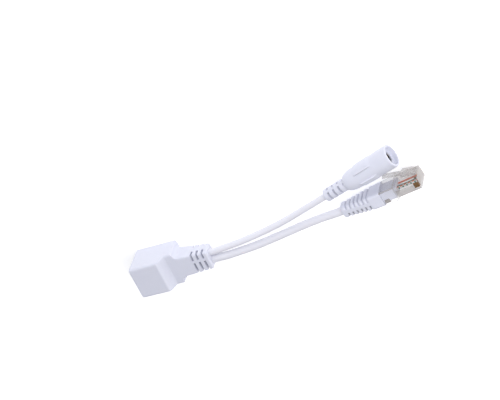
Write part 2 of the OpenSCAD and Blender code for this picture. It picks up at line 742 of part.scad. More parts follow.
// Jack core: insulator with the plug bore, the pin's seat and a trough for the side contact
module jack_core() {
  trough_z = leaf_root_z + leaf_t / 2 + jack_pocket_gap;
  color([0.08, 0.08, 0.09]) at_jack() difference() {
    rod(core_start, core_end, core_d / 2);
    rod(core_wall_x, core_end + cut, core_bore_d / 2);
    rod(core_start - cut, core_wall_x + cut, pin_collar_d / 2 + core_clear);
    block([core_wall_x, -leaf_slot_w / 2, -trough_z], [core_end + cut, leaf_slot_w / 2, 0]);
    block([core_start - cut, -leaf_w / 2 - core_clear, -leaf_root_z - leaf_t / 2 - core_clear],
          [core_wall_x + cut, leaf_w / 2 + core_clear, -leaf_root_z + leaf_t / 2 + core_clear]);
  }
}
module center_pin() {
  tip = pin_d / 4;
  color(gold) at_jack() rotate([0, 90, 0]) rotate_extrude() polygon([
    [0, contact_back], [lead_d / 2, contact_back], [lead_d / 2, core_start], [pin_collar_d / 2, core_start],
    [pin_collar_d / 2, core_wall_x], [pin_d / 2, core_wall_x], [pin_d / 2, core_wall_x + pin_len - tip],
    [pin_d / 2 - tip, core_wall_x + pin_len], [0, core_wall_x + pin_len]
  ]);
}
// Side contact: sprung arm that rises from its root into the plug bore
module side_contact() {
  color(gold) at_jack() translate([leaf_x, 0, -leaf_root_z]) {
    rotate([90, 0, 0]) cylinder(h = leaf_w, r = leaf_t, center = true);
    rotate([0, -leaf_rise, 0]) block([0, -leaf_w / 2, -leaf_t / 2], [leaf_len, leaf_w / 2, leaf_t / 2]);
  }
}
module side_terminal() {
  color(gold) at_jack()
    translate([0, 0, -leaf_root_z])
      block([contact_back, -leaf_w / 2, -leaf_t / 2], [core_wall_x, leaf_w / 2, leaf_t / 2]);
}
module jack_lead_pos() {
  color([0.75, 0.10, 0.10]) at_jack() lead([cable_end_x, 0, half_lead], [contact_back, 0, 0], 2, 1.5);
}
module jack_lead_neg() {
  land = -leaf_root_z + leaf_t / 2 + lead_d / 2 + wire_clear;
  color([0.10, 0.10, 0.11]) at_jack() lead([cable_end_x, 0, -half_lead], [contact_back + 2, 0, land], 2, 2.5);
}

housing();
socket_insert();
contact_carrier();
contact_springs();
solder_tails();
data_lead_1();
data_lead_2();
data_lead_3();
data_lead_6();
power_lead_pos();
power_lead_neg();
network_cable();
power_cable();
boot();
plug_body();
plug_latch();
plug_blades();
plug_wire_1();
plug_wire_2();
plug_wire_3();
plug_wire_6();
jack_shell();
jack_core();
center_pin();
side_contact();
side_terminal();
jack_lead_pos();
jack_lead_neg();
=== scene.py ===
# %% [markdown]
# # A power injector lead
# A short white lead set that puts power onto a network cable: a moulded socket housing, two tails,
# a clear modular plug and a round power jack. The imported solids are loaded first, as a fixed frame.
# Each skin is worked out in millimetres, set where its solid lies, and stored in metres. Shapes follow
# the solids' sizes. The finishes, the light, and some painted shade and highlights were set one by one.

# %% Load the frame
import math

import bpy
import numpy as np
from mathutils import Matrix


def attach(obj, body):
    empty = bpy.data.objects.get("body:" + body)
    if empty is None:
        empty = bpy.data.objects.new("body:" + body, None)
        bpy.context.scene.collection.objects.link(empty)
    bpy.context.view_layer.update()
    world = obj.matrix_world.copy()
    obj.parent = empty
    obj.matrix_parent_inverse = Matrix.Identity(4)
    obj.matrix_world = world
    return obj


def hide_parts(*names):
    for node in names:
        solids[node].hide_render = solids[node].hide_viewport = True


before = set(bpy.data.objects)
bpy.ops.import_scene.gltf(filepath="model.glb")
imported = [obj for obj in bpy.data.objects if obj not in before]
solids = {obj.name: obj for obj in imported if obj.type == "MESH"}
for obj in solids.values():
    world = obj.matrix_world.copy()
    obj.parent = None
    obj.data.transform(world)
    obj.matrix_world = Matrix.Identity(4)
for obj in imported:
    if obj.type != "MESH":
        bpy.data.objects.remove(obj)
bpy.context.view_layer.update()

# %% [markdown]
# ## Camera
# The picture was taken from well above the table, with the lead lying at a slant. A camera can be
# aimed by hand or by a constraint. Here it gets an aim point, a distance, a direction, a roll and a
# lens, because a fit to the corners of the housing, plug, boot and jack gives those numbers.

# %% Camera
AIM = np.array([0.0498, 0.0203, 0.0])
AIM_DISTANCE = 0.9143
AZIMUTH, ELEVATION, ROLL = 141.28, 53.60, 197.98
LENS, SENSOR_WIDTH = 131.3, 36


def view_axes(azimuth, elevation, roll):
    """Right, up and back of a camera that looks down at that elevation, then rolls about its own axis."""
    a, e, r = np.radians([azimuth, elevation, roll])
    back = np.array([np.sin(a) * np.cos(e), -np.cos(a) * np.cos(e), np.sin(e)])
    level = np.cross([0, 0, 1], back)
    level /= np.linalg.norm(level)
    right = np.cos(r) * level + np.sin(r) * np.cross(back, level)
    return right, np.cross(back, right), back


right, up, back = view_axes(AZIMUTH, ELEVATION, ROLL)
camera = bpy.data.objects.new("camera", bpy.data.cameras.new("camera"))
camera.data.lens = LENS
camera.data.sensor_width = SENSOR_WIDTH
camera.data.sensor_fit = "HORIZONTAL"
placed = np.eye(4)
placed[:3] = np.column_stack([right, up, back, AIM + AIM_DISTANCE * back])
camera.matrix_world = Matrix(placed.tolist())
bpy.context.scene.collection.objects.link(camera)
bpy.context.scene.camera = camera
print("camera at", np.round(placed[:3, 3], 4))

# %% [markdown]
# ## From numbers to a mesh
# A loft is a stack of rings: each ring has the same number of points, and neighbouring rings are
# joined by four-sided faces. Blender can loft by bridging edge loops, but an array of points says
# the same in one step. Both ends close on a single point, so every piece is a closed skin.

# %% Mesh of a stack of rings
MM = 0.001
LEAD_SET = "lead_set"
SHARP_ABOVE = 38


def skin(name, rings):
    """Closed mesh of rings with the shape (rings, points, 3), in millimetres, with a pole at each end.

    Ring i joins ring i + 1 point by point. The signed volume, a sixth of the sum of the triple products
    of the triangles, tells whether the faces point outwards, and they are turned round if they don't."""
    n, m = rings.shape[:2]
    poles = np.array([rings[0].mean(0), rings[-1].mean(0)])
    points = np.concatenate([rings.reshape(-1, 3), poles]) * MM
    i, j = np.meshgrid(np.arange(n - 1) * m, np.arange(m), indexing="ij")
    k = (j + 1) % m
    quads = np.stack([i + j, i + m + j, i + m + k, i + k], -1).reshape(-1, 4)
    j, k = np.arange(m), (np.arange(m) + 1) % m
    first = np.stack([np.full(m, n * m), j, k], -1)
    last = np.stack([np.full(m, n * m + 1), (n - 1) * m + k, (n - 1) * m + j], -1)
    tris = np.concatenate([quads[:, [0, 1, 2]], quads[:, [0, 2, 3]], first, last])
    a, b, c = (points[tris[:, s]] for s in range(3))
    faces = quads.tolist() + first.tolist() + last.tolist()
    if np.einsum("ij,ij->", a, np.cross(b, c)) < 0:
        faces = [face[::-1] for face in faces]
    mesh = bpy.data.meshes.new(name)
    mesh.from_pydata(points.tolist(), [], faces)
    mesh.polygons.foreach_set("use_smooth", np.ones(len(faces), bool))
    mesh.set_sharp_from_angle(angle=math.radians(SHARP_ABOVE))
    piece = bpy.data.objects.new(name, mesh)
    bpy.context.scene.collection.objects.link(piece)
    print(name, "faces:", len(faces))
    return piece


def keep(piece, name, shares):
    """Stores one number for each point of a piece's rings; a pole gets the mean of its end ring.

    Finishes read "film" as clear plastic's density, which holds painted edge shade, and the other number as
    painted shade above 0 and painted highlight below 0."""
    poles = np.array([shares[0].mean(), shares[-1].mean()])
    points = piece.data.attributes.new(name, "FLOAT", "POINT")
    points.data.foreach_set("value", np.concatenate([shares.ravel(), poles]).astype(np.float32))


def turned(points, yaw, at):
    """Points turned about the vertical by yaw degrees and moved so that their origin lies at `at`."""
    c, s = math.cos(math.radians(yaw)), math.sin(math.radians(yaw))
    x, y, z = np.moveaxis(points, -1, 0)
    return np.stack([x * c - y * s + at[0], x * s + y * c + at[1], z + at[2]], -1)


# %% [markdown]
# ## The two tails
# The tails are jacketed cables: a thicker one to the plug and a thinner one to the jack. The points
# of their routes are those of the solids. They come down from the neck to the ground and end on the
# axes of the boot and the jack, so those axes are named here. Routes and exits are in metres. The
# other sizes are in millimetres.

# %% Routes of the tails
PLUG_AT, PLUG_YAW, PLUG_MID = (118.0, 8.0, 0.0), 9.0, 5.84
JACK_AT, JACK_YAW = (90.5, 15.0, 6.0), 17.5
NETWORK_D, POWER_D = 4.3, 3.4
NETWORK_EXIT = (0.021, -0.0021, 0.0093)
POWER_EXIT = (0.021, 0.0021, 0.0093)


def on_axis(xs, yaw, at, z):
    """Points along a piece's own axis, in metres."""
    return turned(np.array([[x, 0, z] for x in xs]), yaw, at) * MM


network_route = np.concatenate([
    [(0.0013, -0.0021, 0.0093), (0.0082, -0.0021, 0.0093), (0.0151, -0.0021, 0.0093), NETWORK_EXIT,
     (0.025, -0.0021, 0.0093), (0.029, -0.0022, 0.0091), (0.034, -0.0021, 0.0087), (0.039, -0.002, 0.0082),
     (0.045, -0.0018, 0.0075), (0.051, -0.0013, 0.0068), (0.057, -0.0006, 0.0063), (0.063, 0.0002, 0.0059),
     (0.069, 0.0011, 0.0056), (0.075, 0.002, 0.0055), (0.081, 0.0028, 0.0055), (0.087, 0.0034, 0.0056),
     (0.091, 0.0038, 0.0058)],
    on_axis([-23, -15, -7], PLUG_YAW, PLUG_AT, PLUG_MID),
])
power_route = np.concatenate([
    [(0.0013, 0.0021, 0.0093), (0.0082, 0.0021, 0.0093), (0.0151, 0.0021, 0.0093), POWER_EXIT,
     (0.025, 0.0022, 0.0093), (0.029, 0.0025, 0.0091), (0.034, 0.0028, 0.0087), (0.039, 0.0031, 0.0082),
     (0.045, 0.0037, 0.0075), (0.051, 0.0045, 0.0069), (0.057, 0.0055, 0.0064), (0.063, 0.0068, 0.0061),
     (0.069, 0.0084, 0.0059), (0.075, 0.0102, 0.0058), (0.081, 0.012, 0.0058), (0.086, 0.0136, 0.0059)],
    on_axis([0, 7.25, 14.5], JACK_YAW, JACK_AT, 0),
])
print("route points:", len(network_route), len(power_route))


# %% [markdown]
# ## A tube along a route
# A bevelled curve would also make a cable. A mesh tube is closed like every other skin, and its length
# can be summed on the way. A natural cubic spline through the points bends as a springy cable does.

# %% Tube along a route
TUBE_STEP, TUBE_SIDES = 0.8, 28


def spline(points, step):
    """Natural cubic spline through the points, sampled about every `step`.

    The knots are the lengths of the chords. The second derivatives solve the three-term equations that
    make slope and curvature run on at each point, with no curvature at the two ends."""
    chord = np.linalg.norm(np.diff(points, axis=0), axis=1)
    knot = np.concatenate([[0], np.cumsum(chord)])
    n = len(points)
    system, load = np.eye(n), np.zeros((n, 3))
    inner = np.arange(1, n - 1)
    system[inner, inner - 1] = chord[:-1]
    system[inner, inner] = 2 * (chord[:-1] + chord[1:])
    system[inner, inner + 1] = chord[1:]
    slope = np.diff(points, axis=0) / chord[:, None]
    load[1:-1] = 6 * np.diff(slope, axis=0)
    curve = np.linalg.solve(system, load)
    t = np.linspace(0, knot[-1], int(knot[-1] / step) + 1)
    k = np.clip(np.searchsorted(knot, t, side="right") - 1, 0, n - 2)
    h, a, b = chord[k][:, None], (knot[k + 1] - t)[:, None], (t - knot[k])[:, None]
    return (curve[k] * a**3 + curve[k + 1] * b**3) / (6 * h) \
        + (points[k] / h - curve[k] * h / 6) * a + (points[k + 1] / h - curve[k + 1] * h / 6) * b


def tube(name, route, diameter):
    """Round tube: rings of points, square to the route, at each of the spline's samples."""
    path = spline(np.asarray(route) / MM, TUBE_STEP)
    along = np.gradient(path, axis=0)
    along /= np.linalg.norm(along, axis=1)[:, None]
    side = np.cross([0, 0, 1], along)
    side /= np.linalg.norm(side, axis=1)[:, None]
    tall = np.cross(along, side)
    angle = np.linspace(0, 2 * np.pi, TUBE_SIDES, endpoint=False)[None, :, None]
    rings = path[:, None] + diameter / 2 * (np.cos(angle) * side[:, None] + np.sin(angle) * tall[:, None])
    piece = skin(name, rings)
    length = np.linalg.norm(np.diff(path, axis=0), axis=1).sum() * MM
    print(name, "length:", round(length, 4))
    return piece, path * MM, length


network_tail, network_path, network_length = tube("network_tail", network_route, NETWORK_D)
power_tail, power_path, power_length = tube("power_tail", power_route, POWER_D)
for piece, node in ((network_tail, "network_cable"), (power_tail, "power_cable")):
    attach(piece, LEAD_SET)
    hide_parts(node)

# %% [markdown]
# ## Rings with rounded corners
# The housing, the boot, the plug and the latch are rectangles with rounded corners in cross-section.
# Bevels would need sharp boxes first. One ring function serves them all: each point belongs to a
# corner, or lies on the straight line between two corners. A ring can then change its width, height
# and corners along the piece and keep its points in step.

# %% Rounded ring
def ring_plan(side, top, corner):
    """Which corners and angles each point of a ring uses, and its share of the way between them.

    The corners are numbered from the lower right, counter-clockwise, as seen along +X."""
    sweep = np.linspace(0, 90, corner)
    plan = []
    for k, count in enumerate((side, top, side, top)):
        start = 90 * k - 90
        plan += [(k, start + q, k, start + q, 0.0) for q in sweep]
        share = np.linspace(0, 1, count + 2)[1:-1]
        plan += [(k, start + 90, (k + 1) % 4, start + 90, s) for s in share]
    first, a, second, b, share = map(np.array, zip(*plan))
    return first, np.radians(a), second, np.radians(b), share


def rounded_rings(rows, plan):
    """Rings for rows of (x, half width, low, high, low corner radius, high corner radius).

    A point is its corner's centre plus the radius along its angle, or a weighted mean of two such points."""
    x, w, low, high, r_low, r_high = rows.T
    centre = np.stack([
        np.stack([w - r_low, low + r_low], -1), np.stack([w - r_high, high - r_high], -1),
        np.stack([r_high - w, high - r_high], -1), np.stack([r_low - w, low + r_low], -1),
    ], 1)
    radius = np.stack([r_low, r_high, r_high, r_low], 1)
    first, a, second, b, share = plan

    def ends(k, angle):
        out = np.stack([np.cos(angle), np.sin(angle)], -1)
        return centre[:, k] + radius[:, k, None] * out

    yz = (1 - share)[:, None] * ends(first, a) + share[:, None] * ends(second, b)
    return np.concatenate([np.broadcast_to(x[:, None, None], yz.shape[:2] + (1,)), yz], -1)


def straight(a, b, n):
    """n rows of sizes that go evenly from a towards b, which is left to the next leg."""
    return a + (b - a) * np.linspace(0, 1, n, endpoint=False)[:, None]


def quarter(a, b, n, sizes_first=False):
    """n rows on a quarter of an ellipse from a towards b: x leads, or the sizes do, and the rest follows."""
    t = np.linspace(0, np.pi / 2, n, endpoint=False)[:, None]
    ahead, behind = np.sin(t), 1 - np.cos(t)
    share = np.repeat(ahead if sizes_first else behind, len(a), 1)
    share[:, :1] = behind if sizes_first else ahead
    return a + (b - a) * share


def softened(x, xs, ys, reach):
    """Broken line through (xs, ys), averaged over 2 * reach of x, which rounds its corners."""
    offsets = np.linspace(-reach, reach, 21)
    return np.interp(x[:, None] + offsets, xs, ys).mean(1)


def band(x, lo, hi, soft):
    """1 between lo and hi and 0 outside them, with straight flanks as wide as `soft`."""
    return np.clip((x - lo) / soft + 0.5, 0, 1) * np.clip((hi - x) / soft + 0.5, 0, 1)


def off_bridge(x, middle, width, soft=0.2):
    """0 on a bridge of that width about its middle and 1 away from it, with straight flanks."""
    return np.clip((np.abs(x - middle) - width / 2) / soft + 0.5, 0, 1)


def row(*sizes):
    """One row of ring sizes."""
    return np.array(sizes, float)


def with_slots(rings, inset_rings, mask):
    """Rings moved to their inset copies where the mask is 1."""
    return rings + (inset_rings - rings) * mask[..., None]


def inset(rows, depth, top_depth):
    """The same rows with the walls moved in by depth, the top by its own depth, and corners to suit."""
    shrunk = rows.copy()
    shrunk[:, 1] -= depth
    shrunk[:, 2] += depth
    shrunk[:, 3] -= top_depth
    shrunk[:, 4:] = np.maximum(rows[:, 4:] - depth, 0.2)
    return shrunk


# %% [markdown]
# ## Housing
# The housing is moulded over the socket in soft white vinyl: a box, a sloped step on top, coves at
# the sides and below, and a neck with three levels of flex slots. Subtracting blocks and bevelling
# the result would leave hard, uneven edges. Lofting from the pocket inside, round the mouth's rim
# and along the outside gives one skin with soft edges. The slots are places where the ring shrinks.
# Their floors also get a little painted shade, more on top, because light alone gave another contrast.

# %% Housing
MOUTH_X = -21.0
SLOT_ENDS = np.array([39.8, 36.8, 33.8])
SLOT_W, SLOT_DEPTH, SLOT_TOP_DEPTH = 1.1, 1.15, 1.9
SIDE_BRIDGE_Z, SIDE_BRIDGE, TOP_BRIDGE, TOP_BRIDGE_Y = 8.3, 3.8, 1.7, 1.3
SLOT_SOFT, INSIDE_ROWS = 0.14, 20
NECK_TOP_Z, NECK_TOP_SHADE, NECK_SHADE = 11.7, 0.28, 0.06


def housing_rows():
    """Rows from the lead pocket out to the mouth, over its rim and along the outside to the neck's end."""
    pocket_back = row(22.3, 7.4, 2, 11.8, 0.3, 0.3)
    pocket_front = row(14.7, 7.4, 2, 11.8, 0.3, 0.3)
    seat_back = row(14.7, 7.4, 2, 16.8, 0.3, 0.3)
    lip_in = row(0.3, 7.4, 2, 16.8, 0.3, 0.3)
    lip = row(0, 7.6, 1.8, 17.0, 0.5, 0.5)
    rim = row(0, 8.2, 1.1, 17.9, 0.7, 0.7)
    box_front = row(1.1, 9.3, 0, 19, 1.4, 1.4)
    box_back = row(22.7, 9.3, 0, 13.8, 1.3, 1.0)
    back_edge = row(23.5, 8.5, 0.8, 13.8, 1.3, 0.9)
    neck_front = row(26.8, 5.9, 3, 13.8, 1.2, 0.8)
    neck_back = row(41.1, 5.3, 4.8, 13.8, 1.2, 0.9)
    end_face = row(42, 4.4, 5.7, 12.9, 1.2, 1.2)
    end_core = row(42, 4.0, 6.6, 12.0, 1.8, 1.8)
    box = straight(box_front, box_back, 90)
    box[:, 3] = softened(box[:, 0], [-2, 16.3, 19.1, 30], [19, 19, 13.8, 13.8], 0.55)
    neck = straight(neck_front, neck_back, 60)
    edges = np.concatenate([SLOT_ENDS, SLOT_ENDS - SLOT_W])
    xs = np.sort(np.concatenate([neck[:, 0], edges - 0.09, edges - 0.03, edges + 0.03, edges + 0.09]))
    share = ((xs - neck_front[0]) / (neck_back[0] - neck_front[0]))[:, None]
    neck = neck_front + (neck_back - neck_front) * share
    return np.concatenate([
        straight(pocket_back, pocket_front, 2), straight(pocket_front, seat_back, 2),
        straight(seat_back, lip_in, 4), quarter(lip_in, lip, 5), straight(lip, rim, 3),
        quarter(rim, box_front, 8, sizes_first=True), box, quarter(box_back, back_edge, 8),
        quarter(back_edge, neck_front, 16, sizes_first=True), neck, quarter(neck_back, end_face, 8),
        straight(end_face, end_core, 3), end_core[None],
    ])


rows = housing_rows()
plan = ring_plan(44, 44, 9)
rings = rounded_rings(rows, plan)
levels = band(rows[:, 0, None], SLOT_ENDS - SLOT_W, SLOT_ENDS, SLOT_SOFT).max(1)
outside = np.arange(len(rows)) > INSIDE_ROWS
off_side = off_bridge(rings[..., 2], SIDE_BRIDGE_Z, SIDE_BRIDGE)
off_top = off_bridge(rings[..., 1], TOP_BRIDGE_Y, TOP_BRIDGE)
mask = (levels * outside)[:, None] * off_side * off_top
rings = with_slots(rings, rounded_rings(inset(rows, SLOT_DEPTH, SLOT_TOP_DEPTH), plan), mask)
rings[..., 0] += MOUTH_X
housing = skin("housing_moulding", rings)
keep(housing, "painted_shade_and_light", mask * np.where(rings[..., 2] > NECK_TOP_Z, NECK_TOP_SHADE, NECK_SHADE))
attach(housing, LEAD_SET)
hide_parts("housing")

# %% [markdown]
# ## Boot
# The boot is moulded over the cable behind the plug. Its square head carries on the plug's outline,
# its ribbed taper bends with the cable, and a tongue fills the back of the plug, where it shows
# white through the clear body. The grooves leave a rib along the narrow sides, as on the housing.
# The tongue is pushed back on one side, for the plug's bar and for the step to its nose. The grooves
# get a little painted shade. Those beyond the rib lie in deep shade in the picture, so they are painted
# darker towards the top.

# %% Boot
BOOT_LEN, BOOT_HEAD, GROOVE_W, GROOVE_PITCH, GROOVE_DEPTH = 23.0, 7.0, 0.9, 2.5, 1.3
GROOVES, RIB_ROUND, GROOVE_RIB, RIB_Y = 6, 0.5, 1.9, 0.4
GROOVE_STEPS = np.array([0.07, 0.15, 0.25, 0.4, 0.6])
TONGUE_FROM, TONGUE_STEP, TONGUE_LOW, BAR_X, TONGUE_SOFT = 0.2, 7.1, -1.32, (0.42, 3.18), 0.12
NEAR_SHADE, FAR_SHADE = 0.15, ([0, 0.9], [0.15, 1.25])


def boot_row(x, half_y, half_z, r):
    """Row about the plug's middle height."""
    return row(x, half_y, PLUG_MID - half_z, PLUG_MID + half_z, r, r)


def boot_rows():
    """Rows from the cable's entry over the ribbed taper and the head, and in to the end of the tongue."""
    entry = boot_row(-BOOT_LEN, 2.0, 2.0, 1.9)
    entry_edge = boot_row(-BOOT_LEN, 2.9, 2.9, 2.4)
    taper_start = boot_row(-BOOT_LEN + 0.9, 3.6, 3.6, 2.5)
    head = boot_row(-BOOT_HEAD + 0.2, 4.0, PLUG_MID, 1.7)
    head_front = boot_row(-0.15, 4.0, PLUG_MID, 1.2)
    face = boot_row(0, 3.85, 5.69, 1.1)
    tongue = boot_row(0, 2.8, 4.64, 0.4)
    tongue_front = boot_row(8.7, 2.8, 4.64, 0.4)
    tongue_end = boot_row(9.0, 2.6, 4.4, 0.3)
    valleys = -BOOT_HEAD - np.arange(GROOVES) * GROOVE_PITCH - GROOVE_W / 2
    fine = valleys[:, None] + np.concatenate([-GROOVE_STEPS[::-1], [0], GROOVE_STEPS])
    xs = np.sort(np.concatenate([np.linspace(taper_start[0], head[0], 40), fine.ravel()]))
    xs = xs[xs < head[0]]
    share = ((xs - taper_start[0]) / (head[0] - taper_start[0]))[:, None]
    taper = taper_start + (head - taper_start) * share
    return np.concatenate([
        straight(entry, entry_edge, 3), quarter(entry_edge, taper_start, 7, sizes_first=True), taper,
        straight(head, head_front, 12),
        quarter(head_front, face, 5), straight(face, tongue, 3), straight(tongue, tongue_front, 90),
        quarter(tongue_front, tongue_end, 5), tongue_end[None],
    ])


rows = boot_rows()
plan = ring_plan(30, 24, 9)
rings = rounded_rings(rows, plan)
lift = (rings[..., 2] - PLUG_MID) / (rows[:, 3:4] - PLUG_MID)
# Painted shade for the grooves: a little on the near side, and beyond the rib more towards the top.
shade = np.where(rings[..., 1] < RIB_Y, np.interp(lift, *FAR_SHADE), NEAR_SHADE)
phase = (rows[:, 0] + BOOT_HEAD + GROOVE_W / 2) / GROOVE_PITCH
ribbed = (phase > 0.6 - GROOVES) & (phase < 0.4)
levels = ribbed * (1 - np.abs(np.sin(np.pi * phase)) ** RIB_ROUND)
inner = rounded_rings(inset(rows, GROOVE_DEPTH, GROOVE_DEPTH), plan)
creases = levels[:, None] * off_bridge(rings[..., 1], RIB_Y, GROOVE_RIB)
rings = with_slots(rings, inner, creases)
pressed = band(rings[..., 0], *BAR_X, TONGUE_SOFT) \
    + np.clip((rings[..., 0] - TONGUE_STEP) / TONGUE_SOFT + 0.5, 0, 1)
cut_back = np.maximum(rings[..., 1], TONGUE_LOW) - rings[..., 1]
rings[..., 1] += cut_back * pressed * (rings[..., 0] > TONGUE_FROM)
boot = skin("boot_moulding", turned(rings, PLUG_YAW, PLUG_AT))
keep(boot, "painted_shade_and_light", shade * creases)
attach(boot, LEAD_SET)
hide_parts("boot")

# %% [markdown]
# ## Jack
# The jack's shell is round, so its rings are circles. The profile goes from the cable's entry along
# the strain relief, over the domed shoulder and the body, round the rim, down to the mouth's floor
# and back inside along the core. Cutting slots and adding pads as solids would break that one skin,
# so they change the radius over part of the turn. Each pad has a thin bead along its edges, and a
# short mark follows the third slot. The slots and the mark get painted shade. One pad gets painted
# shade at the foot of its edges and a faint painted highlight on its beads; the other gets a strong
# painted highlight on its beads, as the picture has them.

# %% Jack
RELIEF_R, DOME_X, DOME_LEN, REAR_R, MOUTH_R, JACK_LEN = 3.3, 12.9, 7.3, 5.4, 6.0, 41.7
RELIEF_SLOTS = np.array([2.55, 5.75, 8.95])
RELIEF_SLOT_W, RELIEF_DEPTH, RELIEF_BRIDGE, BRIDGE_SOFT = 1.1, 1.3, 12, 4
PAD_FROM, PAD_TO, PAD_H, PAD_HALF, JACK_ROLL = 20.4, 31.6, 0.4, 65, -10
PAD_REAR, PAD_FRONT, PAD_FLANK, PAD_BEAD_IN, PAD_BEAD_W, PAD_FOOT = 1.6, 2.2, 1.2, 2.2, 2.0, 1.4
FLOOR_X, CORE_X, BORE_R = 39.35, 38.65, 3.1
STUB_X, STUB_W, STUB_DEPTH, STUB_END = 12.1, 0.9, 0.5, 2.4 * RELIEF_BRIDGE
EDGE_STEPS = [-4.5, -3, -2, -1.3, -0.6, 0.6, 1.3, 2, 3, 4.5]
# Painted shade in the slots, the mark and at one pad's foot, and painted highlight on the pads' beads.
RELIEF_SHADE, FOOT_SHADE, BEAD_LIGHT, FAR_BEAD_LIGHT = 0.25, 0.5, 0.3, 1.2
INNER_ROWS = 10


def jack_rows():
    """Rows of (x, radius): entry, strain relief, dome, body, rim, mouth and the seat of the core."""
    relief = np.sort(np.concatenate([
        np.linspace(0.7, 12.5, 50),
        *[RELIEF_SLOTS + e for e in (-0.08, 0.08, RELIEF_SLOT_W - 0.08, RELIEF_SLOT_W + 0.08)]]))
    t = np.radians(np.linspace(10, 90, 18))
    dome = np.stack([DOME_X + DOME_LEN * (1 - np.cos(t)), RELIEF_R + (REAR_R - RELIEF_R) * np.sin(t)], -1)
    body_x = np.sort(np.concatenate([
        np.linspace(20.8, 41.0, 40), [PAD_FROM - 0.15, PAD_FROM + 0.15, PAD_TO - 0.15, PAD_TO + 0.15]]))
    body = np.stack([body_x, np.interp(body_x, [20.2, 36.95], [REAR_R, MOUTH_R])], -1)
    return np.concatenate([
        straight(row(0, 1.5), row(0, 2.7), 3), quarter(row(0, 2.7), row(0.6, RELIEF_R), 7, sizes_first=True),
        np.stack([relief, np.full(len(relief), RELIEF_R)], -1), dome, body,
        quarter(row(41.15, MOUTH_R), row(JACK_LEN, 5.45), 8),
        straight(row(JACK_LEN, 5.45), row(JACK_LEN, 5.2), 2),
        quarter(row(JACK_LEN, 5.2), row(41.45, 4.95), 5, sizes_first=True),
        np.array([[41.4, 4.95], [FLOOR_X + 0.2, 4.95], [FLOOR_X, 4.75], [FLOOR_X, BORE_R + 0.1],
                  [FLOOR_X - 0.1, BORE_R], [CORE_X, BORE_R]]),
        np.array([[CORE_X, 4.87], [23.1, 4.87], [23.1, 3.65], [14.5, 3.65]]),
    ])


rows = jack_rows()
pad_edges = (JACK_ROLL + np.array([PAD_HALF, 180 - PAD_HALF, 180 + PAD_HALF, 360 - PAD_HALF])) % 360
near_edges = np.add.outer(EDGE_STEPS, pad_edges).ravel()
turn = np.unique(np.concatenate([np.arange(0, 360, 2.5), near_edges]))
x, radius = rows[:, :1], rows[:, 1:]
shown = (np.arange(len(rows)) < len(rows) - INNER_ROWS)[:, None]
levels = band(x, RELIEF_SLOTS, RELIEF_SLOTS + RELIEF_SLOT_W, SLOT_SOFT).max(1, keepdims=True)
from_bridge = np.abs((turn - JACK_ROLL + 45) % 180 - 90)
creases = levels * np.clip((from_bridge - RELIEF_BRIDGE) / BRIDGE_SOFT + 0.5, 0, 1)
stubs = band(x, STUB_X, STUB_X + STUB_W, SLOT_SOFT) * band(from_bridge, RELIEF_BRIDGE, STUB_END, BRIDGE_SOFT)
radius = radius - RELIEF_DEPTH * creases - STUB_DEPTH * stubs
from_side = np.abs((turn - JACK_ROLL + 90) % 180 - 90)
along = np.clip((x - PAD_FROM) / PAD_REAR, 0, 1) * np.clip((PAD_TO - x) / PAD_FRONT, 0, 1)
foot = np.exp(-(((from_side - PAD_HALF - PAD_FOOT) / PAD_FOOT) ** 2))
bead = np.exp(-(((PAD_HALF - PAD_BEAD_IN - from_side) / PAD_BEAD_W) ** 2))
pads = along * (np.clip((PAD_HALF - from_side) / PAD_FLANK + 0.5, 0, 1) + bead)
shaded = np.cos(np.radians(turn - JACK_ROLL)) > 0
edge_shade_and_highlight = np.where(shaded, FOOT_SHADE * foot - BEAD_LIGHT * bead, -FAR_BEAD_LIGHT * bead)
# Painted shade in the slots and the mark, and painted shade and highlights along the pads' edges.
creases = RELIEF_SHADE * np.maximum(creases, stubs) + along * edge_shade_and_highlight
angle = np.radians(turn)
above_table = MOUTH_R / np.maximum(-np.sin(angle), 0.1)
radius = np.minimum(radius + PAD_H * pads * shown, above_table)
rings = np.stack([np.broadcast_to(x, radius.shape), radius * np.cos(angle), radius * np.sin(angle)], -1)
jack = skin("jack_moulding", turned(rings, JACK_YAW, JACK_AT))
keep(jack, "painted_shade_and_light", creases)
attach(jack, LEAD_SET)
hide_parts("jack_shell")

# %% [markdown]
# ## Plug
# The plug is moulded in clear plastic: a thick back round the boot's tongue and a thinner nose that
# carries the wires and blades. Full refraction would hide what is inside, so the skin is a film, and
# each point keeps its share of film. The film is thin at the back and dense on the front and on the
# upper side of the nose. That side thins out towards the latch, and it has a thin place where the
# picture looks through to the blades. The back's edges get extra film as painted shade, for the lines
# that light bent in clear plastic draws along its edges; it is strongest along the top edge on the
# latch's side. The eight blade slots and the window in the low side are places where that side moves in.

# %% Plug
PLUG_LEN, PLUG_Y, NOSE_LOW, STEP_FROM, STEP_TO, PLUG_R = 21.46, 4.0, -2.5, 7.6, 8.5, 0.55
BACK_FILM, NOSE_FILM, STEP_FILM, BLADES_FILM = 0.06, 0.28, 0.35, 0.12
LATCH_SIDE_FILM, FRONT_FILM, MOST_FILM, FRONT_ROWS = 0.25, 0.86, 0.9, 5
BLADES_FROM, BLADES_LOW, BLADES_HIGH = 18.35, -1.25, 1.7
# Extra film on the rounded edges is painted shade, for the lines that bent light draws there.
EDGE_SHADE_FILM = [0.12, 0.5, 0.2, 0.12]
NOSE_TOP_FILM = [-2.5, 0.9, 1.9], [0.84, 0.74, 0.2]
ON_FACE = 0.05
PIN_PITCH = 1.02
PIN_Z = PLUG_MID + PIN_PITCH * (np.arange(8) - 3.5)
BLADE_SLOT_X, BLADE_SLOT_W, BLADE_SLOT_DEPTH = (17.28, 20.14), 0.5, 0.26
WINDOW_X, WINDOW_W, WINDOW_DEPTH = (1.1, 6.06), 4.87, 0.45


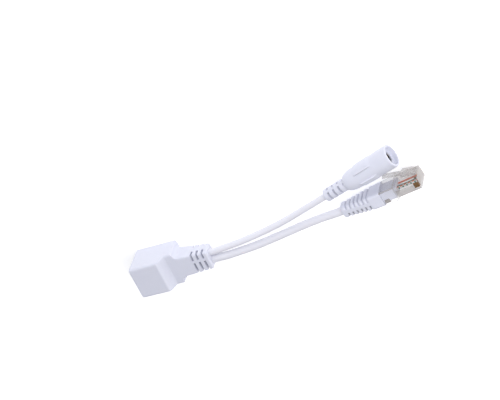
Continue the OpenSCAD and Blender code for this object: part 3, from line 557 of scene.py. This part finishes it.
def plug_rings():
    """Rings of the plug's skin and their film.

    From the step on, y is squeezed evenly towards the latch's side, so that the low side rises to the nose."""
    back_edge, back = boot_row(0, PLUG_Y - 0.3, 5.54, PLUG_R), boot_row(0.3, PLUG_Y, PLUG_MID, PLUG_R)
    front = boot_row(PLUG_LEN - 0.5, PLUG_Y, PLUG_MID, PLUG_R)
    face = boot_row(PLUG_LEN, PLUG_Y - 0.5, 5.34, 0.4)
    rows = np.concatenate([
        quarter(back_edge, back, 5, sizes_first=True), straight(back, front, 120), quarter(front, face, 7),
        straight(face, boot_row(PLUG_LEN, 2.2, 3.6, 0.3), 4)])
    plan = ring_plan(96, 30, 7)
    rings = rounded_rings(rows, plan)
    low = np.interp(rows[:, 0], [STEP_FROM, STEP_TO], [-PLUG_Y, NOSE_LOW])[:, None]
    rings[..., 1] = low + (rings[..., 1] + PLUG_Y) * (PLUG_Y - low) / (2 * PLUG_Y)
    x, y, z = rows[:, :1], rings[..., 1], rings[..., 2]
    on_nose, on_top = x > STEP_TO, z > 2 * PLUG_MID - ON_FACE
    # Painted edge shade, on the back only.
    edge_shade_film = np.array(EDGE_SHADE_FILM)[plan[0]] * (plan[4] == 0)
    film = np.where(on_nose, NOSE_FILM, BACK_FILM) * np.ones(y.shape)
    film = np.where((y > PLUG_Y - ON_FACE) & ~on_nose, LATCH_SIDE_FILM, film)
    film = np.where(on_top & on_nose, np.interp(y, *NOSE_TOP_FILM), film)
    by_blades = (x > BLADES_FROM) & (y > BLADES_LOW) & (y < BLADES_HIGH)
    film = np.where(on_top & by_blades, BLADES_FILM, film)
    film = film + np.maximum(edge_shade_film * ~on_nose, STEP_FILM * band(x, STEP_FROM, STEP_TO, 0.2))
    film[-FRONT_ROWS:] = FRONT_FILM
    slots = band(z[..., None], PIN_Z - BLADE_SLOT_W / 2, PIN_Z + BLADE_SLOT_W / 2, 0.12).max(-1)
    slots = slots * band(x, *BLADE_SLOT_X, 0.2)
    window = band(z, PLUG_MID - WINDOW_W / 2, PLUG_MID + WINDOW_W / 2, 0.15) * band(x, *WINDOW_X, 0.2)
    rings[..., 1] += (y < low + 0.001) * (BLADE_SLOT_DEPTH * slots + WINDOW_DEPTH * window)
    return rings, np.minimum(film, MOST_FILM)


rings, film = plug_rings()
plug = skin("plug_shell", turned(rings, PLUG_YAW, PLUG_AT))
keep(plug, "film", film)

# %% [markdown]
# ## Bar and latch
# When a plug is fitted, a bar across its back is pressed onto the boot's tongue and holds the lead. It
# is part of the plug's body, but a skin of its own lets it be denser. The latch is a springy bar with
# two shoulders that catch in a socket. It could be bent by a modifier. Here it is worked out straight
# and carried along the arm's slight curve, so that its points stay even.

# %% Bar and latch
ARM_FILM, BAR_FILM = 0.34, 0.85
BAR_FROM, BAR_TO, BAR_HALF_Y, BAR_HALF_Z, BAR_R, BAR_GAP = 0.5, 3.1, 1, 4.75, 0.2, 0.1
ARM_STEP, ARM_R = 0.12, 0.22
LATCH_PATH = np.array([
    (21.1, 4.2, 0), (20.4, 4.72, 0), (18, 5.42, 0), (12, 6.95, 0), (7.5, 8.12, 0), (4.5, 8.75, 0)])


def bar_rings():
    """Rings of the bar across the plug that presses on the boot's tongue, with an even film."""
    back, front = (boot_row(x, BAR_HALF_Y, BAR_HALF_Z, BAR_R) for x in (BAR_FROM, BAR_TO))
    rows = np.concatenate([straight(back, front, 8), front[None]])
    rings = rounded_rings(rows, ring_plan(12, 4, 4))
    rings[..., 1] += TONGUE_LOW - (BAR_HALF_Y + BAR_GAP)
    return rings, np.full(rings.shape[:2], BAR_FILM)


def latch_rings():
    """Rings of a bar whose half width steps down behind the shoulders, carried along the arm's path."""
    path = spline(LATCH_PATH, ARM_STEP)
    along = np.gradient(path, axis=0)
    along /= np.linalg.norm(along, axis=1)[:, None]
    out = np.cross(along, [0, 0, 1])
    s = np.linspace(0, np.linalg.norm(np.diff(path, axis=0), axis=1).sum(), len(path))
    half_w = np.interp(s, [0, 0.5, 7.6, 8.1, 20], [2.6, 3.05, 3.05, 1.65, 1.65])
    rise = np.interp(s, [0, 1.2, 2.4, 7.4, 7.7, 20], [0, 0, 0.4, 0.4, 0, 0])
    thin = np.interp(s, [0, 0.6, s[-1] - 0.5, s[-1]], [0.3, 0.5, 0.5, 0.3])
    r = np.full(len(s), ARM_R)
    rows = np.stack([s, half_w, -thin, thin + rise, r, r], -1)
    plan = ring_plan(6, 12, 5)
    bar = rounded_rings(rows, plan)
    # The latch's edges get the same painted edge shade.
    film = np.broadcast_to(ARM_FILM + EDGE_SHADE_FILM[0] * (plan[4] == 0), bar.shape[:2])
    return path[:, None] + bar[..., 2:] * out[:, None] + bar[..., 1:2] * np.array([0, 0, 1.0]), film


rings, film = bar_rings()
bar = skin("plug_bar", turned(rings, PLUG_YAW, PLUG_AT))
keep(bar, "film", film)
for piece in (plug, bar):
    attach(piece, LEAD_SET)
    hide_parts("plug_body")
rings, film = latch_rings()
latch = skin("latch_arm", turned(rings, PLUG_YAW, (PLUG_AT[0], PLUG_AT[1], PLUG_MID)))
keep(latch, "film", film)
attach(latch, "latch")
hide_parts("plug_latch")

# %% [markdown]
# ## The tails' lengths
# The two tails are free cables. Both are shown from end to end, so their lengths are those of their
# routes.

print("tails:", round(network_length, 4), round(power_length, 4))

# %% [markdown]
# ## Shader maths
# Node trees are quicker to read as sums than as wires. A `Field` holds one socket, and each operator
# used on it adds a Math node.

# %% Fields
class Field:
    """A number that varies over a surface: one socket, with operators that add Math nodes."""

    def __init__(self, finish, socket):
        self.finish, self.socket = finish, socket

    def _math(self, operation, a, b=0.0):
        return self.finish.node("ShaderNodeMath", {"operation": operation}, {0: a, 1: b})

    def __add__(self, other):
        return self._math("ADD", self, other)

    def __sub__(self, other):
        return self._math("SUBTRACT", self, other)

    def __rsub__(self, other):
        return self._math("SUBTRACT", other, self)

    def __mul__(self, other):
        return self._math("MULTIPLY", self, other)

    def __gt__(self, other):
        return self._math("GREATER_THAN", self, other)

    def sine(self):
        return self._math("SINE", self)

    __radd__, __rmul__ = __add__, __mul__


# %% [markdown]
# ## Materials as finishes
# A `Finish` is a material with one Principled shader. Its `node` method adds any node, and the short
# methods after it name the few kinds that the finishes below share.

# %% Finishes
class Finish:
    """A procedural material with one Principled shader, painted by fields."""

    def __init__(self, name, **constants):
        self.material = bpy.data.materials.new(name)
        self.material.use_nodes = True
        self.tree = self.material.node_tree
        self.shader = self.tree.nodes["Principled BSDF"]
        for socket, value in constants.items():
            self.shader.inputs[socket.replace("_", " ")].default_value = value

    def node(self, kind, settings=None, sockets=None, out=0):
        """Any node: its settings first, then values or fields for its sockets."""
        made = self.tree.nodes.new(kind)
        for key, value in (settings or {}).items():
            setattr(made, key, value)
        for key, value in (sockets or {}).items():
            self.join(value, made.inputs[key])
        return Field(self, made.outputs[out])

    def join(self, value, socket):
        """Links a field to a socket, or sets a plain value there."""
        if isinstance(value, Field):
            self.tree.links.new(value.socket, socket)
        else:
            socket.default_value = value

    def paint(self, **sockets):
        """Fields or values for the shader's own sockets."""
        for name, value in sockets.items():
            self.join(value, self.shader.inputs[name.replace("_", " ")])

    def place(self, yaw=0.0):
        """Object coordinates, turned so that +X runs along a piece's own axis."""
        spot = self.node("ShaderNodeTexCoord", out=3)
        return self.node("ShaderNodeMapping", {"vector_type": "TEXTURE"},
                         {"Vector": spot, "Rotation": (0, 0, math.radians(yaw))})

    def noise(self, where, scale, detail):
        """Cloudy noise with about `scale` patches to the metre."""
        return self.node("ShaderNodeTexNoise", None, {"Vector": where, "Scale": scale, "Detail": detail})

    def kept(self, name):
        """The number that each point keeps under that name."""
        return self.node("ShaderNodeAttribute", {"attribute_name": name}, out=2)

    def blend(self, share, a, b):
        """Colour that goes from a to b with a field from 0 to 1."""
        return self.node("ShaderNodeMix", {"data_type": "RGBA"}, {0: share, 6: a, 7: b}, out=2)

    def bump(self, height, strength, distance):
        """Normal tilted as if the surface rose by height times distance."""
        return self.node("ShaderNodeBump", None, {"Height": height, "Strength": strength, "Distance": distance})


def dress(finish, *pieces):
    """Puts a finish on pieces, in place of what they had."""
    for piece in pieces:
        piece.data.materials.clear()
        piece.data.materials.append(finish.material)
    print(finish.material.name, "on", [piece.name for piece in pieces])


# %% [markdown]
# ## White vinyl
# White vinyl is never one flat white. It is faintly blue, its gloss comes in soft patches where the
# mould was polished, and a fine grain breaks up its highlights. One recipe makes the mouldings, the
# smoother jackets and the ivory socket. It also lays on the painted shade and painted highlights that
# the points keep.

# %% White vinyl
SCATTER = (1.0, 0.9, 0.85)
# Strength of the painted shade, its dark tone, and the light tone of the painted highlight.
PAINTED_SHADE_GAIN, PAINTED_SHADE_TONE, PAINTED_HIGHLIGHT_TONE = 0.8, 0.25, 1.25


def tone(colour, share):
    """The colour times a share, at most 1, with alpha left at 1."""
    return tuple(min(1, share * c) for c in colour[:3]) + (1,)


def moulded(name, base, deep, rough, grain):
    """Satin plastic with cloudy patches a few millimetres wide and a fine moulded grain.

    Kept numbers above 0 mix in a dark tone as painted shade, and those below 0 a light one as painted
    highlight."""
    vinyl = Finish(name, Subsurface_Weight=0.12, Subsurface_Scale=0.0012, Subsurface_Radius=SCATTER, IOR=1.5)
    spot = vinyl.place()
    cloud = vinyl.noise(spot, 260, 3)
    fine = vinyl.noise(spot, 5200, 2)
    # Painted shade darkens the colour where the kept number is above 0; painted highlight lightens it below 0.
    painted_shade_and_light = PAINTED_SHADE_GAIN * vinyl.kept("painted_shade_and_light")
    colour = vinyl.blend(painted_shade_and_light, vinyl.blend(cloud, base, deep), tone(deep, PAINTED_SHADE_TONE))
    colour = vinyl.blend(-1 * painted_shade_and_light, colour, tone(base, PAINTED_HIGHLIGHT_TONE))
    vinyl.paint(Base_Color=colour, Roughness=rough + 0.14 * cloud - 0.07,
                Normal=vinyl.bump(fine + 0.6 * cloud, grain, 0.00004))
    return vinyl


vinyl = moulded("white_vinyl", (0.70, 0.712, 0.80, 1), (0.67, 0.682, 0.77, 1), 0.42, 0.25)
dress(vinyl, housing, boot, jack)
jacket = moulded("white_jacket", (0.775, 0.775, 0.83, 1), (0.745, 0.745, 0.805, 1), 0.40, 0.12)
dress(jacket, network_tail, power_tail)
ivory = moulded("socket_ivory", (0.70, 0.67, 0.60, 1), (0.66, 0.63, 0.56, 1), 0.4, 0.2)
dress(ivory, solids["socket_insert"])


# %% [markdown]
# ## Clear plastic, metal and insulation
# The clear plastic takes its density from the points, with faint flow marks. Contacts are plated, with
# only faint marks, because stronger ones made the thin springs look like rope. Insulation is one
# colour, or has dashes along the wire. The wires' colours stand where the picture shows them.

# %% Clear plastic, metal and insulation
DASH_PITCH, DASH_LEVEL, SPECK_TONE = 2.2, 0.5, 0.85


def clear_plastic():
    """Clear plastic as a film whose density each point keeps, with flow marks in its tint and gloss."""
    clear = Finish("clear_plastic", IOR=1.5, Specular_IOR_Level=0.8)
    flow = clear.noise(clear.place(PLUG_YAW), 180, 1)
    clear.paint(Base_Color=clear.blend(flow, (0.44, 0.415, 0.40, 1), (0.36, 0.34, 0.33, 1)),
                Alpha=clear.kept("film") * (0.92 + 0.16 * flow), Roughness=0.06 + 0.1 * flow,
                Normal=clear.bump(flow, 0.05, 0.0001))
    return clear


def metal(name, colour, dull, rough):
    """Plated metal with fine rolling marks and patches that have lost some shine."""
    plated = Finish(name, Metallic=1.0)
    spot = plated.place()
    marks = plated.noise(spot, 2400, 2)
    patch = plated.noise(spot, 500, 2)
    plated.paint(Base_Color=plated.blend(patch, colour, dull), Roughness=rough + 0.06 * marks,
                 Normal=plated.bump(marks, 0.03, 0.00001))
    return plated


def insulation(name, colour, stripe=None):
    """Wire insulation in one colour, or with dashes of a second one along the wire."""
    coat = Finish(name, IOR=1.5)
    spot = coat.place(PLUG_YAW)
    speck = coat.noise(spot, 900, 2)
    paint = coat.blend(speck, colour, tone(colour, SPECK_TONE))
    if stripe:
        x = coat.node("ShaderNodeSeparateXYZ", None, {0: spot})
        dash = (x * (2 * math.pi / (DASH_PITCH * MM))).sine() > DASH_LEVEL
        paint = coat.blend(dash, paint, stripe)
    coat.paint(Base_Color=paint, Roughness=0.32 + 0.1 * speck, Normal=coat.bump(speck, 0.1, 0.00003))
    return coat


dress(clear_plastic(), plug, bar, latch)
gold = metal("gold_contact", (0.86, 0.62, 0.25, 1), (0.78, 0.55, 0.22, 1), 0.3)
dress(gold, *[solids[n] for n in ("contact_springs", "solder_tails", "side_contact", "side_terminal")])
dress(metal("deep_gold", (0.50, 0.24, 0.03, 1), (0.34, 0.15, 0.02, 1), 0.25), solids["plug_blades"])
dress(metal("brass_pin", (0.75, 0.68, 0.50, 1), (0.62, 0.54, 0.38, 1), 0.22), solids["center_pin"])
ORANGE, GREEN, PALE = (0.86, 0.17, 0.05, 1), (0.01, 0.15, 0.08, 1), (0.80, 0.80, 0.78, 1)
dress(insulation("green_on_white", PALE, GREEN), solids["plug_wire_1"], solids["data_lead_1"])
dress(insulation("orange_on_white", ORANGE, PALE), solids["plug_wire_2"], solids["data_lead_2"])
dress(insulation("green_wire", GREEN), solids["plug_wire_3"], solids["data_lead_3"])
dress(insulation("orange_wire", ORANGE), solids["plug_wire_6"], solids["data_lead_6"])
dress(insulation("red_wire", (0.55, 0.03, 0.02, 1)), solids["power_lead_pos"], solids["jack_lead_pos"])
dress(insulation("black_wire", (0.02, 0.02, 0.022, 1)), solids["power_lead_neg"], solids["jack_lead_neg"])
dress(insulation("core_black", (0.005, 0.005, 0.006, 1)), solids["jack_core"])
dress(insulation("dark_plate", (0.03, 0.032, 0.036, 1)), solids["contact_carrier"])

# %% [markdown]
# ## Floor and light
# The lead lies on a plain white light table, as for a catalogue. The table glows a little, which keeps
# the shadows open. In the picture the sides towards +Y are the bright ones, so the sky is brighter that
# way: its strength is a mean times one plus the lean times the direction's y. One panel hangs above and
# beyond the plug's end, and one stands lower and farther off that way. Panels are given by the
# direction that they shine from, so they can be read without a plan of the room.

# %% Floor and light
FLOOR_HALF = 3.0
FLOOR_DROP = 0.0001
FLOOR_GLOW = 0.38
SKY, SKY_STRENGTH, SKY_LEAN = (0.94, 0.95, 1.0, 1), 0.69, 0.85
floor_mesh = bpy.data.meshes.new("floor")
corners = FLOOR_HALF * np.array([(-1, -1, 0), (1, -1, 0), (1, 1, 0), (-1, 1, 0)])
floor_mesh.from_pydata((corners - [0, 0, FLOOR_DROP]).tolist(), [], [(0, 1, 2, 3)])
floor = bpy.data.objects.new("floor", floor_mesh)
bpy.context.scene.collection.objects.link(floor)
floor_finish = Finish("pale_floor", Roughness=0.9, Specular_IOR_Level=0.1, Emission_Strength=FLOOR_GLOW)
floor_finish.paint(Base_Color=(0.94, 0.94, 0.94, 1), Emission_Color=(1, 1, 1, 1))
dress(floor_finish, floor)


def panel(name, way, distance, size, power, tint=(1, 1, 1)):
    """Square soft light that faces the aim point from the direction `way`."""
    way = np.array(way) / np.linalg.norm(way)
    level = np.cross([0, 0, 1], way)
    level /= np.linalg.norm(level)
    lamp = bpy.data.objects.new(name, bpy.data.lights.new(name, "AREA"))
    lamp.data.shape, lamp.data.size = "SQUARE", size
    lamp.data.energy, lamp.data.color = power, tint
    spot = np.eye(4)
    spot[:3] = np.column_stack([level, np.cross(way, level), way, AIM + distance * way])
    lamp.matrix_world = Matrix(spot.tolist())
    bpy.context.scene.collection.objects.link(lamp)
    print(name, "at", np.round(spot[:3, 3], 3))


panel("top_panel", (0.8, -0.15, 1.0), 0.42, 0.35, 0.8, (1.0, 0.985, 0.97))
panel("front_panel", (1.0, -0.1, 0.5), 1.5, 0.8, 0.3, (0.97, 0.98, 1.0))
world = bpy.data.worlds.new("studio")
world.use_nodes = True
nodes, link = world.node_tree.nodes, world.node_tree.links.new
sky, way = nodes["Background"], nodes.new("ShaderNodeTexCoord")
split, lean = nodes.new("ShaderNodeSeparateXYZ"), nodes.new("ShaderNodeMath")
lean.operation = "MULTIPLY_ADD"
lean.inputs[1].default_value, lean.inputs[2].default_value = SKY_LEAN * SKY_STRENGTH, SKY_STRENGTH
sky.inputs["Color"].default_value = SKY
link(way.outputs["Generated"], split.inputs[0])
link(split.outputs["Y"], lean.inputs[0])
link(lean.outputs[0], sky.inputs["Strength"])
bpy.context.scene.world = world
bpy.context.scene.view_settings.view_transform = "Standard"
